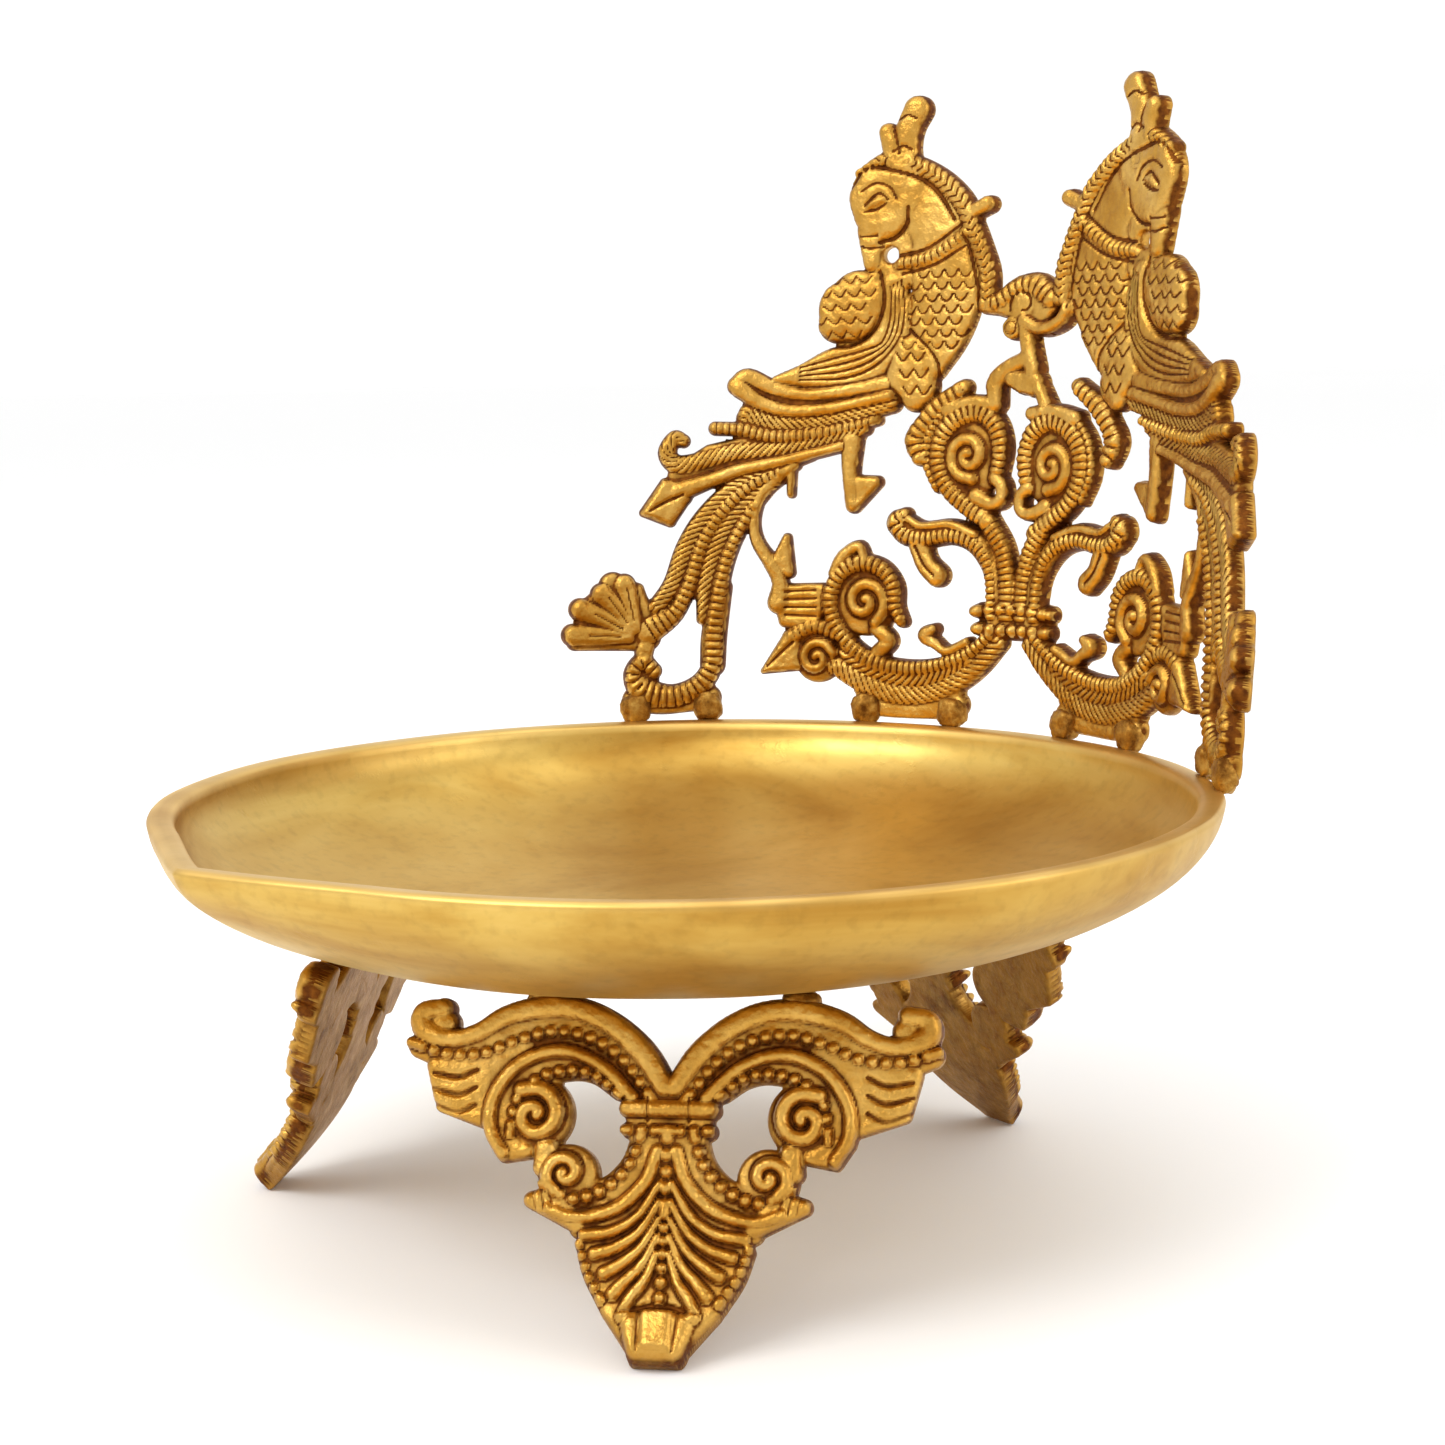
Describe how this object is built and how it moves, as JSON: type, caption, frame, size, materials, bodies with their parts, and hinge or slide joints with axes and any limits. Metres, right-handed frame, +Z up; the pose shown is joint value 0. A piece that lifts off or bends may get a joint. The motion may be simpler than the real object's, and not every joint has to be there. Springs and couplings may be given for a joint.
{
  "type": "oil lamp",
  "caption": "Shallow cast brass oil lamp bowl with a pinched wick lip, openwork peacock back plate and acanthus legs brazed on",
  "frame": {"origin": "middle of the lamp's box, on the table plane under the three toes", "axes": "+Z up, -Y towards the wick lip, +Y towards the peacock plate"},
  "size_m": [0.2, 0.2124, 0.212],
  "materials": {
    "bowl_brass": "satin, turned and brushed, softly polished",
    "aged_brass": "cast relief, polished on the high parts with dark brown patina in the recesses",
    "braze": "rough braze metal, darkened"
  },
  "bodies": {
    "root": {"bowl": "bowl_brass", "back_plate": "aged_brass", "leg_right": "aged_brass", "leg_left": "aged_brass", "leg_back": "aged_brass", "braze_plate_1": "braze", "braze_plate_2": "braze", "braze_plate_3": "braze", "braze_plate_4": "braze", "braze_plate_5": "braze", "braze_plate_6": "braze", "braze_plate_7": "braze", "braze_plate_8": "braze", "braze_leg_right_1": "braze", "braze_leg_right_2": "braze", "braze_leg_left_1": "braze", "braze_leg_left_2": "braze", "braze_leg_back_1": "braze", "braze_leg_back_2": "braze"}
  },
  "joints": []
}
